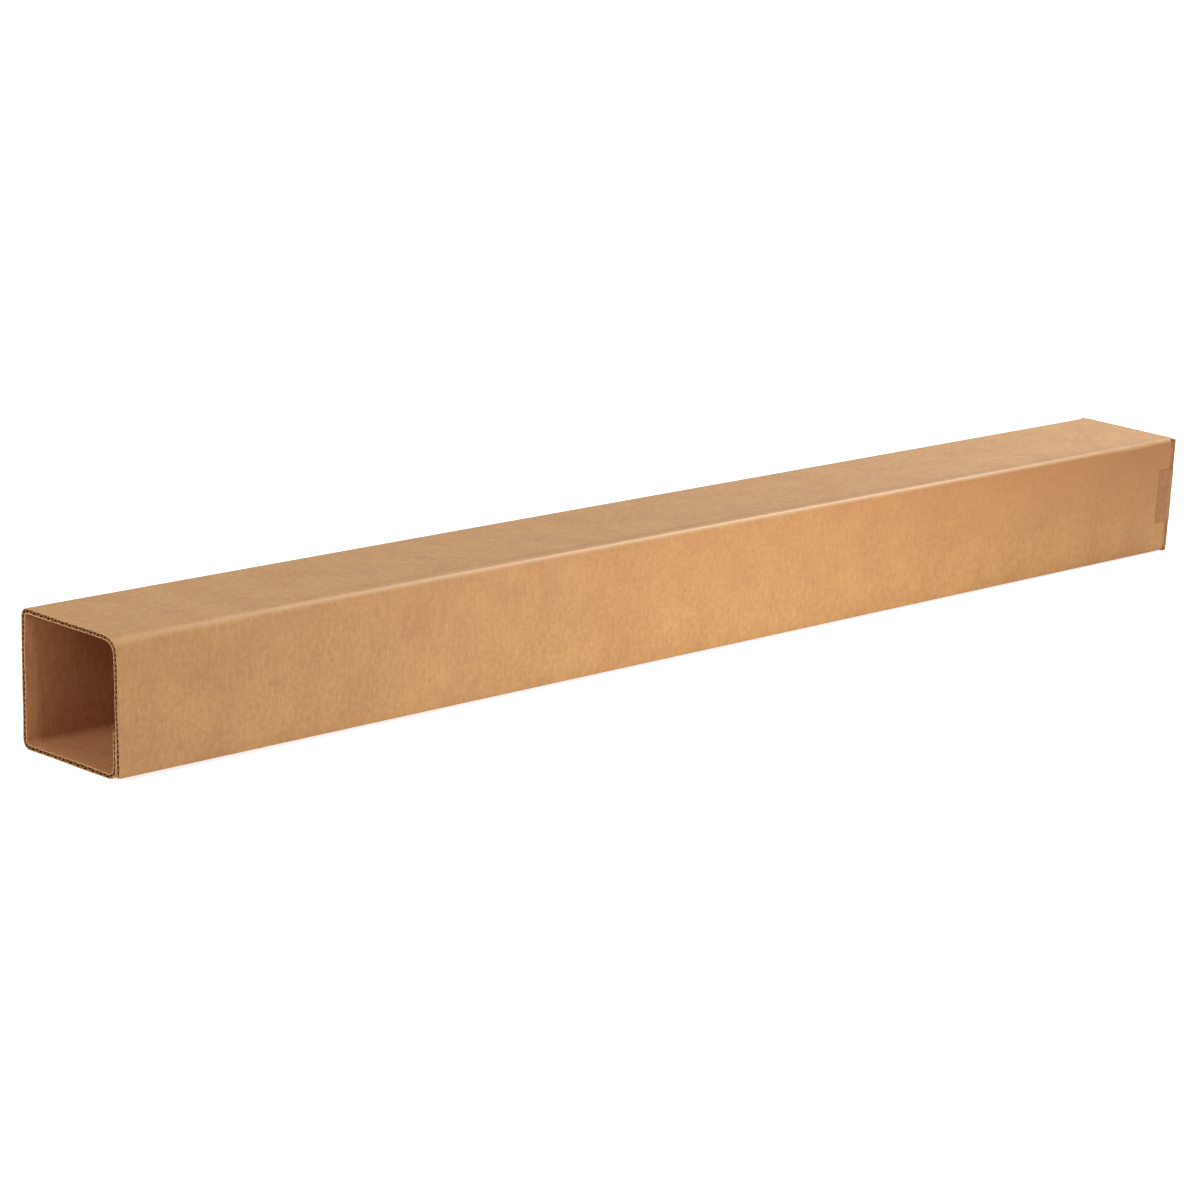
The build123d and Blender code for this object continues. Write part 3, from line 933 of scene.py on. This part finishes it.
def buildFloor():
    # Matt painted floor: plain, pale, and it keeps the object's shadow
    half = studio["floorHalf"]
    mesh = bpy.data.meshes.new("studioFloor")
    corners = [(-half, -half, 0), (half, -half, 0), (half, half, 0), (-half, half, 0)]
    mesh.from_pydata(corners, [], [(0, 1, 2, 3)])
    floor = bpy.data.objects.new("studioFloor", mesh)
    bpy.context.scene.collection.objects.link(floor)
    material, tree = newMaterial("mattFloorPaint")
    seen = directSight(tree)
    glow = addNode(tree, "ShaderNodeMath", {"operation": "MULTIPLY", 1: studio["floorGlow"]},
                   {0: seen})
    shader = addNode(tree, "ShaderNodeBsdfDiffuse", {"Color": hexColour(studio["floorColour"])})
    light = addNode(tree, "ShaderNodeEmission", None, {"Strength": glow.outputs[0]})
    total = addNode(tree, "ShaderNodeAddShader", None,
                    {0: shader.outputs[0], 1: light.outputs[0]})
    addNode(tree, "ShaderNodeOutputMaterial", None, {"Surface": total.outputs[0]})
    mesh.materials.append(material)


def buildWorld():
    world = bpy.data.worlds.new("paleStudio")
    bpy.context.scene.world = world
    world.use_nodes = True
    tree = world.node_tree
    tree.nodes.clear()
    seen = directSight(tree)
    strength = addNode(tree, "ShaderNodeMapRange",
                       {"To Min": studio["worldFill"], "To Max": 1.0}, {"Value": seen})
    sky = addNode(tree, "ShaderNodeBackground", {"Color": (1, 1, 1, 1)},
                  {"Strength": strength.outputs["Result"]})
    addNode(tree, "ShaderNodeOutputWorld", None, {"Surface": sky.outputs[0]})


def softbox(name, setup):
    lamp = bpy.data.lights.new(name, "AREA")
    lamp.shape = "RECTANGLE"
    lamp.size, lamp.size_y = setup["size"]
    lamp.energy = setup["power"]
    lampObject = bpy.data.objects.new(name, lamp)
    bpy.context.scene.collection.objects.link(lampObject)
    lampObject.location = setup["location"]
    aim = np.array(setup["target"]) - np.array(setup["location"])
    tilt = math.atan2(math.hypot(aim[0], aim[1]), -aim[2])
    lampObject.rotation_euler = (tilt, 0.0, math.atan2(-aim[0], aim[1]))


camera = {
    "location": (-2.50576, -2.19916, 0.87287),
    "turn": (75.7299, -3.5619, -46.9927),       # degrees
    "lens": 130.31,
    "sensor": 36.0,
    "clipEnd": 50.0,
}


def buildCamera():
    lens = bpy.data.cameras.new("photoCamera")
    lens.lens = camera["lens"]
    lens.sensor_width = camera["sensor"]
    lens.sensor_fit = "HORIZONTAL"
    lens.clip_end = camera["clipEnd"]
    view = bpy.data.objects.new("photoCamera", lens)
    bpy.context.scene.collection.objects.link(view)
    view.location = camera["location"]
    view.rotation_euler = [math.radians(angle) for angle in camera["turn"]]
    bpy.context.scene.camera = view


buildFloor()
buildWorld()
for name in ("front", "top", "left", "rim"):
    softbox(name + "Softbox", studio[name])
buildCamera()
bpy.context.scene.view_settings.view_transform = "Standard"
print("studio and camera set")
